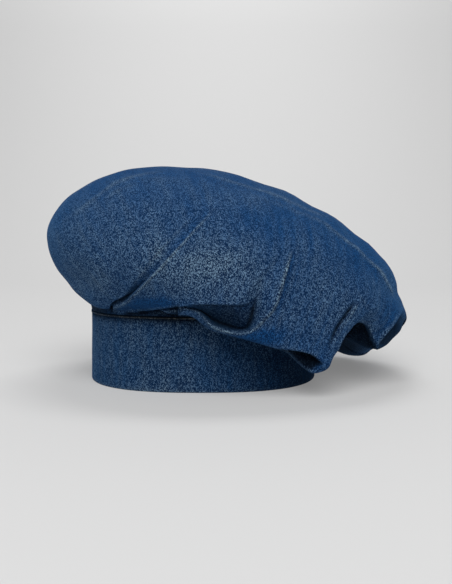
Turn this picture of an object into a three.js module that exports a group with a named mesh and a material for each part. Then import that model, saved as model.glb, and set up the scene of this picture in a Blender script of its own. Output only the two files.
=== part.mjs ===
// A soft chef hat in blue denim. A stiff oval band stands on its lower edge, and one large disc
// of cloth is pleated into the band's top. The disc puffs up at the left (-X), slopes down to the
// right (+X) and hangs there past the band in soft ruffles. The camera side is -Y.
// Millimetres, +Z up, origin under the middle of the hat on the surface that it stands on.

import * as THREE from "three";

// Band: a doubled strip of denim in an oval ring, flatter than an ellipse along its sides.
const bandLength = 200;
const bandDepth = 172;
const bandHeight = 57.3;
const bandWall = 2.4;
const bandSquareness = 2.5;

// Welt: the narrow turned edge of the seam, between the band and the crown.
const weltHeight = 2.2;
const weltProud = 0.5;

// Crown: one disc of cloth. Its rim is an oval, set off towards the side that it slumps to.
const crownLength = 324;
const crownDepth = 250;
const crownRise = 134;
const crownDroop = 48;
const crownWall = 1.2;

// Sewn pieces lie this far from each other.
const seamClearance = 0.3;
const ringFacets = 64;

// The level side of the crown's rim hangs this far below the band's top edge.
const rimSag = 2.3;

// The cloth stands up out of the seam by this much before it turns outwards.
const neckRise = 4.5;
const neckOut = 1.5;

const bandTop = bandHeight;
const crownLevel = bandTop - rimSag;
const weltBottom = bandTop + seamClearance;
const weltTop = weltBottom + weltHeight;
const crownBottom = weltTop + seamClearance;

// Stations up the cloth above its lowest fold. Middle is a share of the crown's length along X,
// spread of its half length and half depth, and the rises are shares of the crown's rise.
const stations = [
  { at: 0.5, middle: 0.058, spread: 1.0, riseLeft: 0.52, riseRight: 0.0 },
  { at: 0.64, middle: 0.07, spread: 0.9, riseLeft: 0.79, riseRight: 0.3 },
  { at: 0.82, middle: 0.04, spread: 0.55, riseLeft: 0.955, riseRight: 0.725 },
  { at: 1.0, middle: -0.04, spread: 0.0, riseLeft: 0.982, riseRight: 0.982 },
];

// Sections round the crown, by azimuth in degrees from +X. The fold is the lowest line of the
// cloth: foldOut is its share of the way from the seam to the rim, foldDown its share of the droop.
const sections = [
  { azimuth: -180, foldOut: 0.24, foldDown: -0.34, rimOut: -0.03, rimDown: 0 },
  { azimuth: -150, foldOut: 0.23, foldDown: -0.26, rimOut: 0, rimDown: 0 },
  { azimuth: -134, foldOut: 0.2, foldDown: -0.2, rimOut: 0, rimDown: 0 },
  { azimuth: -118, foldOut: 0.3, foldDown: -0.3, rimOut: 0, rimDown: 0.02 },
  { azimuth: -104, foldOut: 0.5, foldDown: -0.22, rimOut: 0, rimDown: 0.05 },
  { azimuth: -92, foldOut: 0.75, foldDown: 0.02, rimOut: 0, rimDown: 0.1 },
  { azimuth: -78, foldOut: 0.85, foldDown: 0.25, rimOut: 0, rimDown: 0.1 },
  { azimuth: -70, foldOut: 0.9, foldDown: 0.42, rimOut: 0, rimDown: 0.1 },
  { azimuth: -63, foldOut: 0.88, foldDown: 0.72, rimOut: 0, rimDown: 0.1 },
  { azimuth: -56, foldOut: 0.92, foldDown: 0.35, rimOut: 0.02, rimDown: 0.1 },
  { azimuth: -46, foldOut: 0.85, foldDown: -0.04, rimOut: 0, rimDown: 0.1 },
  { azimuth: -35, foldOut: 0.9, foldDown: 0.48, rimOut: 0.02, rimDown: 0.05 },
  { azimuth: -20, foldOut: 0.79, foldDown: 0.46, rimOut: 0.02, rimDown: 0 },
  { azimuth: 0, foldOut: 0.68, foldDown: 0.73, rimOut: 0, rimDown: 0 },
  { azimuth: 24, foldOut: 0.76, foldDown: 1.02, rimOut: 0.02, rimDown: 0 },
  { azimuth: 37, foldOut: 0.82, foldDown: 0.95, rimOut: 0, rimDown: 0 },
  { azimuth: 50, foldOut: 0.7, foldDown: 0.4, rimOut: 0, rimDown: 0 },
  { azimuth: 66, foldOut: 0.85, foldDown: 0.75, rimOut: 0.02, rimDown: 0 },
  { azimuth: 84, foldOut: 0.6, foldDown: 0.15, rimOut: 0, rimDown: 0 },
  { azimuth: 108, foldOut: 0.5, foldDown: 0.15, rimOut: 0, rimDown: 0 },
  { azimuth: 140, foldOut: 0.3, foldDown: -0.15, rimOut: 0, rimDown: 0 },
];

// Pleats: knife folds that run up the cloth out of the seam. Their azimuths are at the seam, at the
// lowest fold, at the rim and above it; begins and fades are places up the cloth, depth a share of
// the pleat's depth, columns the number of columns of facets from this pleat to the next.
const pleatDepth = 6;
const pleatReturn = 2.5;
const pleatValley = 9;
const pleatReach = 20;
const pleats = [
  { seam: -136, fold: -125, rim: -109, above: -100, begins: 0.22, fades: 0.7, depth: 1.0, columns: 10 },
  { seam: -110, fold: -103, rim: -96, above: -88, begins: 0.13, fades: 0.42, depth: 0.5, columns: 8 },
  { seam: -88, fold: -82, rim: -76.5, above: -73, begins: 0.13, fades: 0.66, depth: 1.0, columns: 12 },
  { seam: -66, fold: -62.5, rim: -54, above: -50, begins: 0.27, fades: 0.6, depth: 0.9, columns: 11 },
  { seam: -44, fold: -39, rim: -37, above: -36, begins: 0.2, fades: 0.58, depth: 0.5, columns: 9 },
  { seam: -15, fold: -13, rim: -14, above: -16, begins: 0.13, fades: 0.6, depth: 0.7, columns: 8 },
  { seam: 15, fold: 14, rim: 12, above: 9, begins: 0.13, fades: 0.66, depth: 0.8, columns: 8 },
  { seam: 45, fold: 47, rim: 50, above: 54, begins: 0.13, fades: 0.72, depth: 1.0, columns: 8 },
  { seam: 75, fold: 77, rim: 80, above: 83, begins: 0.13, fades: 0.62, depth: 0.8, columns: 7 },
  { seam: 105, fold: 103, rim: 100, above: 97, begins: 0.16, fades: 0.74, depth: 1.0, columns: 7 },
  { seam: 135, fold: 132, rim: 126, above: 121, begins: 0.13, fades: 0.66, depth: 0.9, columns: 6 },
  { seam: 165, fold: 163, rim: 158, above: 154, begins: 0.13, fades: 0.58, depth: 0.7, columns: 12 },
];

// Hollows: where the cloth is pressed in, by the middle's azimuth and place up the cloth. Around is
// the half width in degrees, below and over the reach down and up. The deepest line climbs by lean
// for each degree, and by bow for each degree squared.
const hollowDepth = 10;
const hollows = [
  { azimuth: -90, at: 0.3, around: 13, below: 0.04, over: 0.15, lean: 0.001, bow: 0.0003, depth: 0.9 },
  { azimuth: -68, at: 0.285, around: 7, below: 0.04, over: 0.06, lean: 0.002, bow: 0, depth: 0.32 },
  { azimuth: -12, at: 0.57, around: 30, below: 0.05, over: 0.06, lean: 0, bow: 0, depth: 0.35 },
  { azimuth: -13, at: 0.36, around: 20, below: 0.1, over: 0.12, lean: 0, bow: 0, depth: 0.5 },
  { azimuth: -82, at: 0.56, around: 8, below: 0.12, over: 0.12, lean: 0.004, bow: 0, depth: 0.35 },
];

// Ridges: soft edges across the pleats, each through three places on the cloth.
const ridgeHeight = 3;
const ridgeReach = 9;
const ridges = [
  { from: [-30, 0.57], by: [-46, 0.68], to: [-84, 0.86], height: 1.0 },
  { from: [-59, 0.58], by: [-55, 0.56], to: [-49, 0.53], height: 0.7 },
  { from: [-34, 0.3], by: [-30, 0.42], to: [-21, 0.52], height: 0.7 },
];

// Rows of facets up the cloth.
const places = [
  0, 0.04, 0.08, 0.12, 0.16, 0.2, 0.24, 0.27, 0.3, 0.33, 0.36, 0.4, 0.44, 0.48, 0.52, 0.56, 0.6,
  0.64, 0.69, 0.74, 0.79, 0.84, 0.89, 0.94, 1,
];

function mix(a, b, share) {
  return a + (b - a) * share;
}

// A smooth curve through rows of knots and values, read at one place: cubic pieces whose slopes
// come from the neighbouring rows. A closed curve repeats after its period.
function smooth(knots, values, place, period) {
  const count = knots.length;
  const knot = (i) => (period ? knots[((i % count) + count) % count] + period * Math.floor(i / count)
    : knots[Math.min(Math.max(i, 0), count - 1)]);
  const value = (i) => (period ? values[((i % count) + count) % count]
    : values[Math.min(Math.max(i, 0), count - 1)]);
  let i = period ? count - 1 : count - 2;
  while (i > 0 && knots[i] > place) i -= 1;
  const slope = (k) => {
    const run = knot(k + 1) - knot(k - 1);
    return run > 0 ? (value(k + 1) - value(k - 1)) / run : 0;
  };
  const run = knot(i + 1) - knot(i);
  const u = (place - knot(i)) / run;
  const rise = value(i + 1) - value(i);
  const a = slope(i) * run - rise;
  const b = rise - slope(i + 1) * run;
  return mix(value(i), value(i + 1), u) + u * (1 - u) * (a * (1 - u) + b * u);
}

// A column of the sections table at an azimuth.
const sectionAzimuths = sections.map((row) => row.azimuth);
function around(column, azimuth) {
  const turned = ((((azimuth + 180) % 360) + 360) % 360) - 180;
  return smooth(sectionAzimuths, sections.map((row) => row[column]), turned, 360);
}

// The band's oval at an angle: a superellipse with those half axes.
function oval(angle, halfLength, halfDepth) {
  const power = 2 / bandSquareness;
  const c = Math.cos(angle);
  const s = Math.sin(angle);
  return [
    halfLength * Math.sign(c) * Math.abs(c) ** power,
    halfDepth * Math.sign(s) * Math.abs(s) ** power,
  ];
}

// The profile of the cloth at one azimuth, from the seam to the top, as rows of [at, x, y, z].
function profile(azimuth) {
  const angle = THREE.MathUtils.degToRad(azimuth);
  const [seamX, seamY] = oval(angle, bandLength / 2, bandDepth / 2);
  const sideways = (1 + Math.cos(angle)) / 2;
  const upper = stations.map((row) => [
    row.at,
    row.middle * crownLength + (row.spread * crownLength / 2) * Math.cos(angle),
    (row.spread * crownDepth / 2) * Math.sin(angle),
    crownLevel + crownRise * mix(row.riseLeft, row.riseRight, sideways),
  ]);
  const rimOut = around("rimOut", azimuth);
  const rim = upper[0];
  rim[1] += (rim[1] - seamX) * rimOut;
  rim[2] += (rim[2] - seamY) * rimOut;
  rim[3] -= crownDroop * around("rimDown", azimuth);
  const towardsRim = Math.hypot(rim[1] - seamX, rim[2] - seamY);
  const outwards = (share, z, at) => [at, mix(seamX, rim[1], share), mix(seamY, rim[2], share), z];
  const foldOut = around("foldOut", azimuth);
  const foldHeight = crownLevel - crownDroop * around("foldDown", azimuth);
  const neckTop = crownBottom + neckRise;
  return [
    outwards(0, crownBottom, 0),
    outwards(neckOut / towardsRim, neckTop, 0.04),
    outwards(foldOut * 0.5, mix(neckTop, foldHeight, 0.7), 0.12),
    outwards(foldOut, foldHeight, 0.24),
    outwards(mix(foldOut, 1, 0.68), mix(foldHeight, rim[3], 0.43), 0.36),
    ...upper,
  ];
}

// The smooth form of the cloth, without its folds: a curve through the profile that stands straight
// up out of the seam and runs on over the top into the profile of the far side.
function onForm(azimuth, at) {
  const rows = profile(azimuth);
  const far = profile(azimuth + 180);
  const spots = rows.map((row) => new THREE.Vector3(...row.slice(1)));
  const before = spots[0].clone().setZ(2 * spots[0].z - spots[1].z);
  const after = new THREE.Vector3(...far[far.length - 2].slice(1));
  const spot = (k) => (k < 0 ? before : spots[k] ?? after);
  const heading = (k) => {
    const back = spot(k).clone().sub(spot(k - 1));
    const ahead = spot(k + 1).clone().sub(spot(k));
    const [short, long] = [back.length(), ahead.length()];
    back.multiplyScalar(long / short).add(ahead.multiplyScalar(short / long));
    return back.divideScalar(short + long);
  };
  let i = rows.length - 2;
  while (i > 0 && rows[i][0] > at) i -= 1;
  const u = (at - rows[i][0]) / (rows[i + 1][0] - rows[i][0]);
  const step = spot(i + 1).clone().sub(spot(i));
  const leaving = heading(i).multiplyScalar(step.length()).sub(step);
  const arriving = step.clone().sub(heading(i + 1).multiplyScalar(step.length()));
  const bend = leaving.multiplyScalar(1 - u).add(arriving.multiplyScalar(u));
  return spot(i).clone().addScaledVector(step, u).addScaledVector(bend, u * (1 - u)).toArray();
}

// A step from 0 to 1 between two places, flat at both ends.
function ease(from, to, place) {
  const share = THREE.MathUtils.clamp((place - from) / (to - from), 0, 1);
  return share * share * (3 - 2 * share);
}

// The azimuth of a pleat's valley at a place up the cloth.
function pleatLine(pleat, at) {
  return smooth([0, 0.24, 0.5, 0.7, 1], [pleat.seam, pleat.fold, pleat.rim, pleat.above, pleat.above], at);
}

// Millimetres along the cloth for one degree of azimuth.
function perDegree(point) {
  return THREE.MathUtils.degToRad(Math.hypot(point[0], point[1]));
}

function turn(azimuth) {
  return ((((azimuth + 180) % 360) + 360) % 360) - 180;
}

// How far the folds lift the cloth off its smooth form, along its normal.
function lift(azimuth, at, point) {
  let height = 0;
  for (const pleat of pleats) {
    const grown = ease(pleat.begins, pleat.begins + 0.16, at);
    const kept = 1 - ease(pleat.fades - 0.25, pleat.fades, at);
    const side = turn(azimuth - pleatLine(pleat, at)) * perDegree(point);
    let rise = 0.5 * Math.exp(-(((side - pleatReturn) / pleatReach) ** 2));
    if (side < pleatReturn) rise = side / pleatReturn - 0.5;
    if (side < 0) rise = -0.5 * Math.exp(-((side / pleatValley) ** 2));
    height += pleatDepth * pleat.depth * grown * kept * rise;
  }
  for (const hollow of hollows) {
    const along = turn(azimuth - hollow.azimuth);
    const up = at - hollow.at - (hollow.lean + hollow.bow * along) * along;
    const across = Math.abs(along) / hollow.around;
    const climb = up < 0 ? -up / hollow.below : up / hollow.over;
    if (across < 1 && climb < 1) {
      height -= hollowDepth * hollow.depth * (1 - ease(0.35, 1, across)) * (1 - ease(0, 1, climb));
    }
  }
  for (const ridge of ridges) {
    const line = [ridge.from, ridge.by, ridge.to].map((place) => new THREE.Vector3(...onForm(...place)));
    const spot = new THREE.Vector3(...point);
    const away = [0, 1].map((k) => {
      const near = new THREE.Line3(line[k], line[k + 1]).closestPointToPoint(spot, true, new THREE.Vector3());
      return near.distanceTo(spot);
    });
    height += ridgeHeight * ridge.height * Math.exp(-((Math.min(...away) / ridgeReach) ** 2));
  }
  return height;
}

// A point on the folded cloth: the smooth form, lifted along its normal.
function onCrown(azimuth, at) {
  const point = onForm(azimuth, at);
  if (at < 0.02 || at > 0.98) return point;
  const near = (turned, raised) => new THREE.Vector3(...onForm(azimuth + turned, at + raised));
  const along = near(0.5, 0).sub(near(-0.5, 0));
  const up = near(0, 0.004).sub(near(0, -0.004));
  const normal = along.cross(up).normalize();
  const height = lift(azimuth, at, point);
  return point.map((value, axis) => value + height * normal.getComponent(axis));
}

// The azimuths of the columns of facets at a place up the cloth: each pleat has one in its valley
// and one on its edge, and the rest spread from there to the next pleat.
function columnAzimuths(at) {
  return pleats.flatMap((pleat, k) => {
    const from = pleatLine(pleat, at);
    const next = pleats[(k + 1) % pleats.length];
    const gap = (((pleatLine(next, at) - from) % 360) + 360) % 360;
    const edge = Math.min(pleatReturn / perDegree(onForm(from, Math.min(at, 0.8))), 0.2 * gap);
    return Array.from({ length: pleat.columns }, (_, i) => {
      if (i === 0) return from;
      return from + mix(edge, gap, ((i - 1) / (pleat.columns - 1)) ** 1.2);
    });
  });
}

// A closed wall between two grids of points: the outer and the inner face of a shell whose first
// rows are joined by a flat edge and whose last rows close in one point each.
function shell(outer, inner) {
  const rows = outer.length;
  const columns = outer[0].length;
  const points = [];
  const faces = [];
  const place = (grid) => {
    const start = points.length / 3;
    for (const row of grid.slice(0, -1)) for (const point of row) points.push(...point);
    points.push(...grid[rows - 1][0]);
    return (j, i) => (j === rows - 1 ? start + (rows - 1) * columns : start + j * columns + (i % columns));
  };
  const skin = (index, inward) => {
    const face = (a, b, c) => faces.push(a, ...(inward ? [c, b] : [b, c]));
    for (let j = 0; j < rows - 1; j += 1) {
      for (let i = 0; i < columns; i += 1) {
        face(index(j, i), index(j, i + 1), index(j + 1, i));
        if (j < rows - 2) face(index(j, i + 1), index(j + 1, i + 1), index(j + 1, i));
      }
    }
  };
  const outerIndex = place(outer);
  const innerIndex = place(inner);
  skin(outerIndex, false);
  skin(innerIndex, true);
  for (let i = 0; i < columns; i += 1) {
    faces.push(outerIndex(0, i + 1), outerIndex(0, i), innerIndex(0, i));
    faces.push(outerIndex(0, i + 1), innerIndex(0, i), innerIndex(0, i + 1));
  }
  return solid(points, faces);
}

function solid(points, faces) {
  const geometry = new THREE.BufferGeometry();
  geometry.setAttribute("position", new THREE.Float32BufferAttribute(points, 3));
  geometry.setIndex(faces);
  geometry.computeVertexNormals();
  return geometry;
}

function crown() {
  const outer = places.map((at) => columnAzimuths(at).map((azimuth) => onCrown(azimuth, at)));
  const columns = outer[0].length;
  const last = places.length - 1;
  const seamScale = 1 - crownWall / (bandDepth / 2);
  const inner = outer.map((row, j) => row.map((point, i) => {
    if (j === 0) return [point[0] * seamScale, point[1] * seamScale, point[2]];
    const turned = (k) => row[(k + columns) % columns];
    const along = new THREE.Vector3(...turned(i + 1)).sub(new THREE.Vector3(...turned(i - 1)));
    const next = outer[Math.min(j + 1, last)][i];
    const up = new THREE.Vector3(...next).sub(new THREE.Vector3(...outer[j - 1][i]));
    const normal = j === last ? new THREE.Vector3(0, 0, 1) : along.cross(up).normalize();
    return point.map((value, axis) => value - crownWall * normal.getComponent(axis));
  }));
  return shell(outer, inner);
}

// A ring with a flat top and bottom, whose outline is the band's oval.
function ring(inset, wall, bottom, height) {
  const outline = (extra) => Array.from({ length: ringFacets }, (_, i) => {
    const angle = (2 * Math.PI * i) / ringFacets;
    return new THREE.Vector2(...oval(angle, bandLength / 2 - extra, bandDepth / 2 - extra));
  });
  const shape = new THREE.Shape(outline(inset));
  shape.holes.push(new THREE.Path(outline(inset + wall)));
  const geometry = new THREE.ExtrudeGeometry(shape, { depth: height, bevelEnabled: false, steps: 1 });
  geometry.translate(0, 0, bottom);
  return geometry;
}

const denim = new THREE.MeshStandardMaterial({ color: 0x2a4a73, roughness: 0.95, metalness: 0 });
const weltDenim = new THREE.MeshStandardMaterial({ color: 0x1c2c40, roughness: 0.95, metalness: 0 });

const hat = new THREE.Group();
function add(name, geometry, material) {
  const mesh = new THREE.Mesh(geometry, material);
  mesh.name = name;
  hat.add(mesh);
}
add("band", ring(0, bandWall, 0, bandHeight), denim);
add("seam_welt", ring(-weltProud, bandWall, weltBottom, weltHeight), weltDenim);
add("crown", crown(), denim);

// The origin moves from the band's middle to under the middle of the whole hat.
const middle = new THREE.Box3().setFromObject(hat).getCenter(new THREE.Vector3());
for (const mesh of hat.children) mesh.geometry.translate(-middle.x, -middle.y, 0);

export default hat;
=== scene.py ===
"""A soft chef hat in washed blue denim: a folded band stands on its edge, a welt finishes its
seam, and one big disc of cloth is pleated into it, puffed up at the left and slumped at the right.
Metres, +Z up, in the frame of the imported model. The camera looks along +Y."""

import bpy
import numpy as np
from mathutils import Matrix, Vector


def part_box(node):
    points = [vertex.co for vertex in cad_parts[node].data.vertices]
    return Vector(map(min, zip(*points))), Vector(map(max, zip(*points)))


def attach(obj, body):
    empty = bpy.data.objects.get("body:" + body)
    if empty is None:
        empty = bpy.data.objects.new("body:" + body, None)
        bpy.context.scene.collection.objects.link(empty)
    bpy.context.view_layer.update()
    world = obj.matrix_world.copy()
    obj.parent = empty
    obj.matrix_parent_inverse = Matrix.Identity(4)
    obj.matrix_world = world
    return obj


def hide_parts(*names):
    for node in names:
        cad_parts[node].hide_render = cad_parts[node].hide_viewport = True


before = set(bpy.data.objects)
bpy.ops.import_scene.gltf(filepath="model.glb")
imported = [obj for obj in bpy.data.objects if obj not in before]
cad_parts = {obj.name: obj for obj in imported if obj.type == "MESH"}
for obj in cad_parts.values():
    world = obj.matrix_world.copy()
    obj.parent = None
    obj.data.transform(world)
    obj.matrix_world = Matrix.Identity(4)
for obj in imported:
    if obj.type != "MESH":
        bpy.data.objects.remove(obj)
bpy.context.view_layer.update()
scene = bpy.context.scene
scene.view_settings.view_transform = "Standard"

# Camera: on a level stand in front of the hat, a little above the height of its band. The lens is
# raised in its mount so that the hat sits low in the picture, whose sizes are in pixels here.
eye_height = 0.114
eye_distance = 0.5603
picture_width = 452.0
picture_height = 584.0
focal_length = 606.0
lens_raise = 44.5
film_width = 36.0
camera_lens = bpy.data.cameras.new("product_camera")
camera_lens.sensor_width = film_width
camera_lens.lens = film_width * focal_length / picture_height
camera_lens.shift_y = -lens_raise / picture_height
camera = bpy.data.objects.new("product_camera", camera_lens)
camera.location = (0.0004, -eye_distance, eye_height)
camera.rotation_euler = (np.pi / 2, 0.0, 0.0)
scene.collection.objects.link(camera)
scene.camera = camera

# Band: one strip of denim folded along its lower edge, so that two layers of cloth stand up
# together, and closed by a seam at the back. Its outline is an oval with flattened sides.
band_low, band_high = (np.array(corner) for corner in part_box("band"))
band_middle = (band_low + band_high) / 2
band_half = (band_high - band_low)[:2] / 2
band_top = band_high[2]
band_squareness = 2.5
mm = 0.001
band_wall = 2.4 * mm
cloth_thickness = 0.9 * mm
seam_pinch = 0.5 * mm
seam_width = 0.9 * mm


def oval(angle, half):
    """A superellipse: each of cosine and sine of the angle, raised to 2 over the squareness with
    its sign kept, times that half axis, about the band's middle."""
    turn = np.stack([np.cos(angle), np.sin(angle)], -1)
    return band_middle[:2] + half * np.sign(turn) * np.abs(turn) ** (2 / band_squareness)


def carried_round(turn, half, shift, up):
    """A section carried round that oval: at each angle its points lie inwards of the outline by
    their shift, on the line to the band's middle, and at their height. Gives the points, and the
    length along the outline up to each angle."""
    outline = oval(turn, half)
    toward = band_middle[:2] - outline
    toward /= np.linalg.norm(toward, axis=-1, keepdims=True)
    ring = outline[None] + toward[None] * shift[..., None]
    points = np.concatenate([ring, np.broadcast_to(up, shift.shape)[..., None]], -1)
    return points, length_along(outline)


def bell(distance, width):
    """A bell curve: e to the power of minus the square of the distance over the width."""
    return np.exp(-((distance / width) ** 2))


def length_along(line):
    """The length of a line of points up to each of them, from 0 at the first."""
    return np.concatenate([[0], np.linalg.norm(np.diff(line, axis=0), axis=-1).cumsum()])


def mesh_piece(name, points, faces):
    """A smooth-shaded object made of those points and faces, with its place in its mesh."""
    mesh = bpy.data.meshes.new(name)
    mesh.from_pydata(points.reshape(-1, 3).tolist(), [], faces)
    mesh.shade_smooth()
    piece = bpy.data.objects.new(name, mesh)
    scene.collection.objects.link(piece)
    return piece


def loop_mesh(name, points, columns_close, rows_close):
    """A mesh of quads over a grid of points, rows by columns, closed round either way if said,
    facing the side from which columns run right while rows run up."""
    rows, columns = points.shape[:2]
    spot = np.arange(rows * columns).reshape(rows, columns)
    if columns_close:
        spot = np.concatenate([spot, spot[:, :1]], 1)
    if rows_close:
        spot = np.concatenate([spot, spot[:1]], 0)
    quads = np.stack([spot[:-1, :-1], spot[:-1, 1:], spot[1:, 1:], spot[1:, :-1]], -1)
    return mesh_piece(name, points, quads.reshape(-1, 4).tolist())


def cloth_map(piece, flat):
    """Writes one flat place in metres for each point into the piece's UV map."""
    mesh = piece.data
    corner = np.zeros(len(mesh.loops), np.int32)
    mesh.loops.foreach_get("vertex_index", corner)
    layer = mesh.uv_layers.new(name="flat_cloth")
    layer.data.foreach_set("uv", flat.reshape(-1, 2)[corner].astype(np.float32).ravel())


def point_value(piece, name, value):
    """Writes one number for each point into an attribute that a material can read."""
    layer = piece.data.attributes.new(name, "FLOAT", "POINT")
    layer.data.foreach_set("value", value.astype(np.float32).ravel())


def folded_strip():
    """The strip's section is a hairpin: down the outside, round the fold at the floor and up the
    inside, then back one cloth thickness deeper. It is carried round the oval. Between its lowest
    and highest edge it sways by a few tenths of a millimetre, by sines of the angle and the
    height, and it is pinched in by a narrow bell curve at the seam behind."""
    turn = np.linspace(0, 2 * np.pi, 480, endpoint=False)
    bend = np.linspace(np.pi, 2 * np.pi, 13)
    half_wall = band_wall / 2
    outer_fold = np.stack([half_wall * (1 + np.cos(bend)), half_wall * (1 + np.sin(bend))], -1)
    reach = half_wall - cloth_thickness
    inner_fold = np.stack([half_wall + reach * np.cos(bend), half_wall + reach * np.sin(bend)], -1)
    height = np.linspace(band_top, half_wall, 26)
    low = height[1:-1]
    section = np.concatenate([
        np.stack([np.zeros_like(height), height], -1)[:-1],
        outer_fold,
        np.stack([np.full_like(low, band_wall), low[::-1]], -1),
        [[band_wall, band_top], [band_wall - cloth_thickness, band_top]],
        np.stack([np.full_like(low, band_wall - cloth_thickness), low], -1),
        inner_fold[::-1],
        np.stack([np.full_like(low, cloth_thickness), low[::-1]], -1),
        [[cloth_thickness, band_top]],
    ])
    inset, up = section[:, None, 0], section[:, None, 1]
    free = np.sin(np.clip(up / band_top, 0, 1) * np.pi)
    sway = 0.25 * mm * np.sin(5 * turn + 1.0) + 0.2 * mm * np.sin(11 * turn + 90 * up)
    pinch = seam_pinch * bell((turn - np.pi / 2) * band_half[1], seam_width)
    shift = inset + free * (np.abs(sway) + pinch)
    points, outline_length = carried_round(turn, band_half, shift, up)
    section_length = length_along(section)
    flat = np.stack(np.broadcast_arrays(outline_length[None], -section_length[:, None]), -1)
    return points, flat


def add_node(tree, kind, inputs=None, **settings):
    """One shader node with its settings, and its inputs set or linked by name or number."""
    made = tree.nodes.new(kind)
    for key, value in settings.items():
        setattr(made, key, value)
    for key, value in (inputs or {}).items():
        socket = made.inputs[key]
        if isinstance(value, bpy.types.NodeSocket):
            tree.links.new(value, socket)
        else:
            socket.default_value = value
    return made


def twill_group():
    """Denim seen from close by. Ribs run across the cloth at 45 degrees and pale weft threads show
    between them as short dashes. Where the cloth is rubbed, in streaks or by its wear, they are pale and
    crisp, and past full wear they lie bare; elsewhere the dye is whole and the cloth is an even clear
    blue. Depth is painted shade: it darkens the colour and dims the pale threads where shade falls, as
    in the bottom of a fold. Cloth is the flat place and Place the place on the piece, both in
    millimetres."""
    tree = bpy.data.node_groups.new("denim_twill", "ShaderNodeTree")
    sockets = [
        ("Cloth", "INPUT", "NodeSocketVector"),
        ("Place", "INPUT", "NodeSocketVector"),
        ("Warp", "INPUT", "NodeSocketColor"),
        ("Weft", "INPUT", "NodeSocketColor"),
        ("Dye", "INPUT", "NodeSocketColor"),
        ("Wear", "INPUT", "NodeSocketFloat"),
        ("Depth", "INPUT", "NodeSocketFloat"),
        ("Colour", "OUTPUT", "NodeSocketColor"),
        ("Relief", "OUTPUT", "NodeSocketFloat"),
    ]
    for name, way, kind in sockets:
        tree.interface.new_socket(name, in_out=way, socket_type=kind)
    given = tree.nodes.new("NodeGroupInput").outputs
    result = tree.nodes.new("NodeGroupOutput").inputs

    def calc(operation, first, second=0.0, third=0.0, clamp=False):
        return add_node(tree, "ShaderNodeMath", {0: first, 1: second, 2: third},
                        operation=operation, use_clamp=clamp).outputs[0]

    def noise(vector, scale, detail, roughness=0.5):
        return add_node(tree, "ShaderNodeTexNoise", {
            "Vector": vector, "Scale": scale, "Detail": detail, "Roughness": roughness,
        }).outputs["Fac"]

    def mapped(vector, rotation, sizes):
        return add_node(tree, "ShaderNodeMapping", {
            "Vector": vector, "Rotation": rotation, "Scale": [1 / size for size in sizes],
        }).outputs[0]

    def blend(factor, first, second):
        return add_node(tree, "ShaderNodeMix", {"Factor": factor, "A": first, "B": second},
                        data_type="RGBA").outputs[2]

    rib_pitch = 1.1
    rib_direction = (0.7071, 0.7071, 0)
    fleck_sizes = (0.46, 0.46, 0.72)
    slub_sizes = (1.3, 5.2, 1)
    streak_sizes = (7.0, 56.0, 1)
    sway = noise(given["Cloth"], 0.3, 2.0)
    across = add_node(tree, "ShaderNodeVectorMath", {0: given["Cloth"], 1: rib_direction},
                      operation="DOT_PRODUCT").outputs["Value"]
    phase = calc("MULTIPLY_ADD", sway, 6.0, calc("MULTIPLY", across, 2 * np.pi / rib_pitch))
    rib = calc("MULTIPLY_ADD", calc("SINE", phase), 0.5, 0.5)
    slanted = mapped(given["Place"], (0, np.pi / 4, 0), fleck_sizes)
    flecks = add_node(tree, "ShaderNodeTexVoronoi", {"Vector": slanted, "Scale": 1.0}).outputs["Color"]
    fleck = add_node(tree, "ShaderNodeSeparateColor", {"Color": flecks}).outputs["Red"]
    dashes = noise(slanted, 1.4, 1.0, 0.6)
    slubs = noise(mapped(given["Cloth"], (0, 0, 0.06), slub_sizes), 1.0, 2.0, 0.6)
    streaks = noise(mapped(given["Cloth"], (0, 0, -0.95), streak_sizes), 1.0, 1.5, 0.6)
    drift = noise(given["Cloth"], 0.02, 4.0)
    grain = calc("MULTIPLY_ADD", calc("POWER", fleck, 4.0), 3.0, -0.3)
    grain = calc("MULTIPLY_ADD", calc("SUBTRACT", dashes, 0.5), 2.4, grain)
    grain = calc("MULTIPLY_ADD", calc("SUBTRACT", slubs, 0.5), 0.4, grain)
    grain = calc("MULTIPLY_ADD", calc("SUBTRACT", rib, 0.5), 0.12, grain)
    rubbed = calc("MULTIPLY_ADD", given["Wear"], 0.75, 0.33)
    rubbed = calc("MULTIPLY_ADD", calc("SUBTRACT", streaks, 0.5), 0.6, rubbed)
    rubbed = calc("MULTIPLY_ADD", calc("SUBTRACT", drift, 0.5), 0.6, rubbed, clamp=True)
    bare = calc("MULTIPLY_ADD", given["Wear"], 1.2, -0.9, clamp=True)
    pale = calc("MULTIPLY_ADD", rubbed, 0.1, calc("MULTIPLY_ADD", bare, 0.4, grain))
    # Painted shade dims the pale threads.
    pale = calc("SUBTRACT", pale, calc("MULTIPLY", given["Depth"], 0.3), clamp=True)
    even = calc("MULTIPLY_ADD", pale, 1.8, 0.17, clamp=True)
    crisp = blend(pale, given["Warp"], given["Weft"])
    clear = blend(even, given["Warp"], given["Dye"])
    mixed = blend(rubbed, clear, crisp)
    # Painted shade: the colour is darkened by up to 88 percent where shade falls.
    shaded = calc("MULTIPLY_ADD", given["Depth"], -0.88, 1.0, clamp=True)
    darker = add_node(tree, "ShaderNodeVectorMath", {0: mixed, "Scale": shaded},
                      operation="SCALE").outputs[0]
    tree.links.new(darker, result["Colour"])
    tree.links.new(calc("MULTIPLY_ADD", dashes, 0.7, calc("MULTIPLY", rib, 0.3)), result["Relief"])
    return tree


denim_twill = twill_group()


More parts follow.
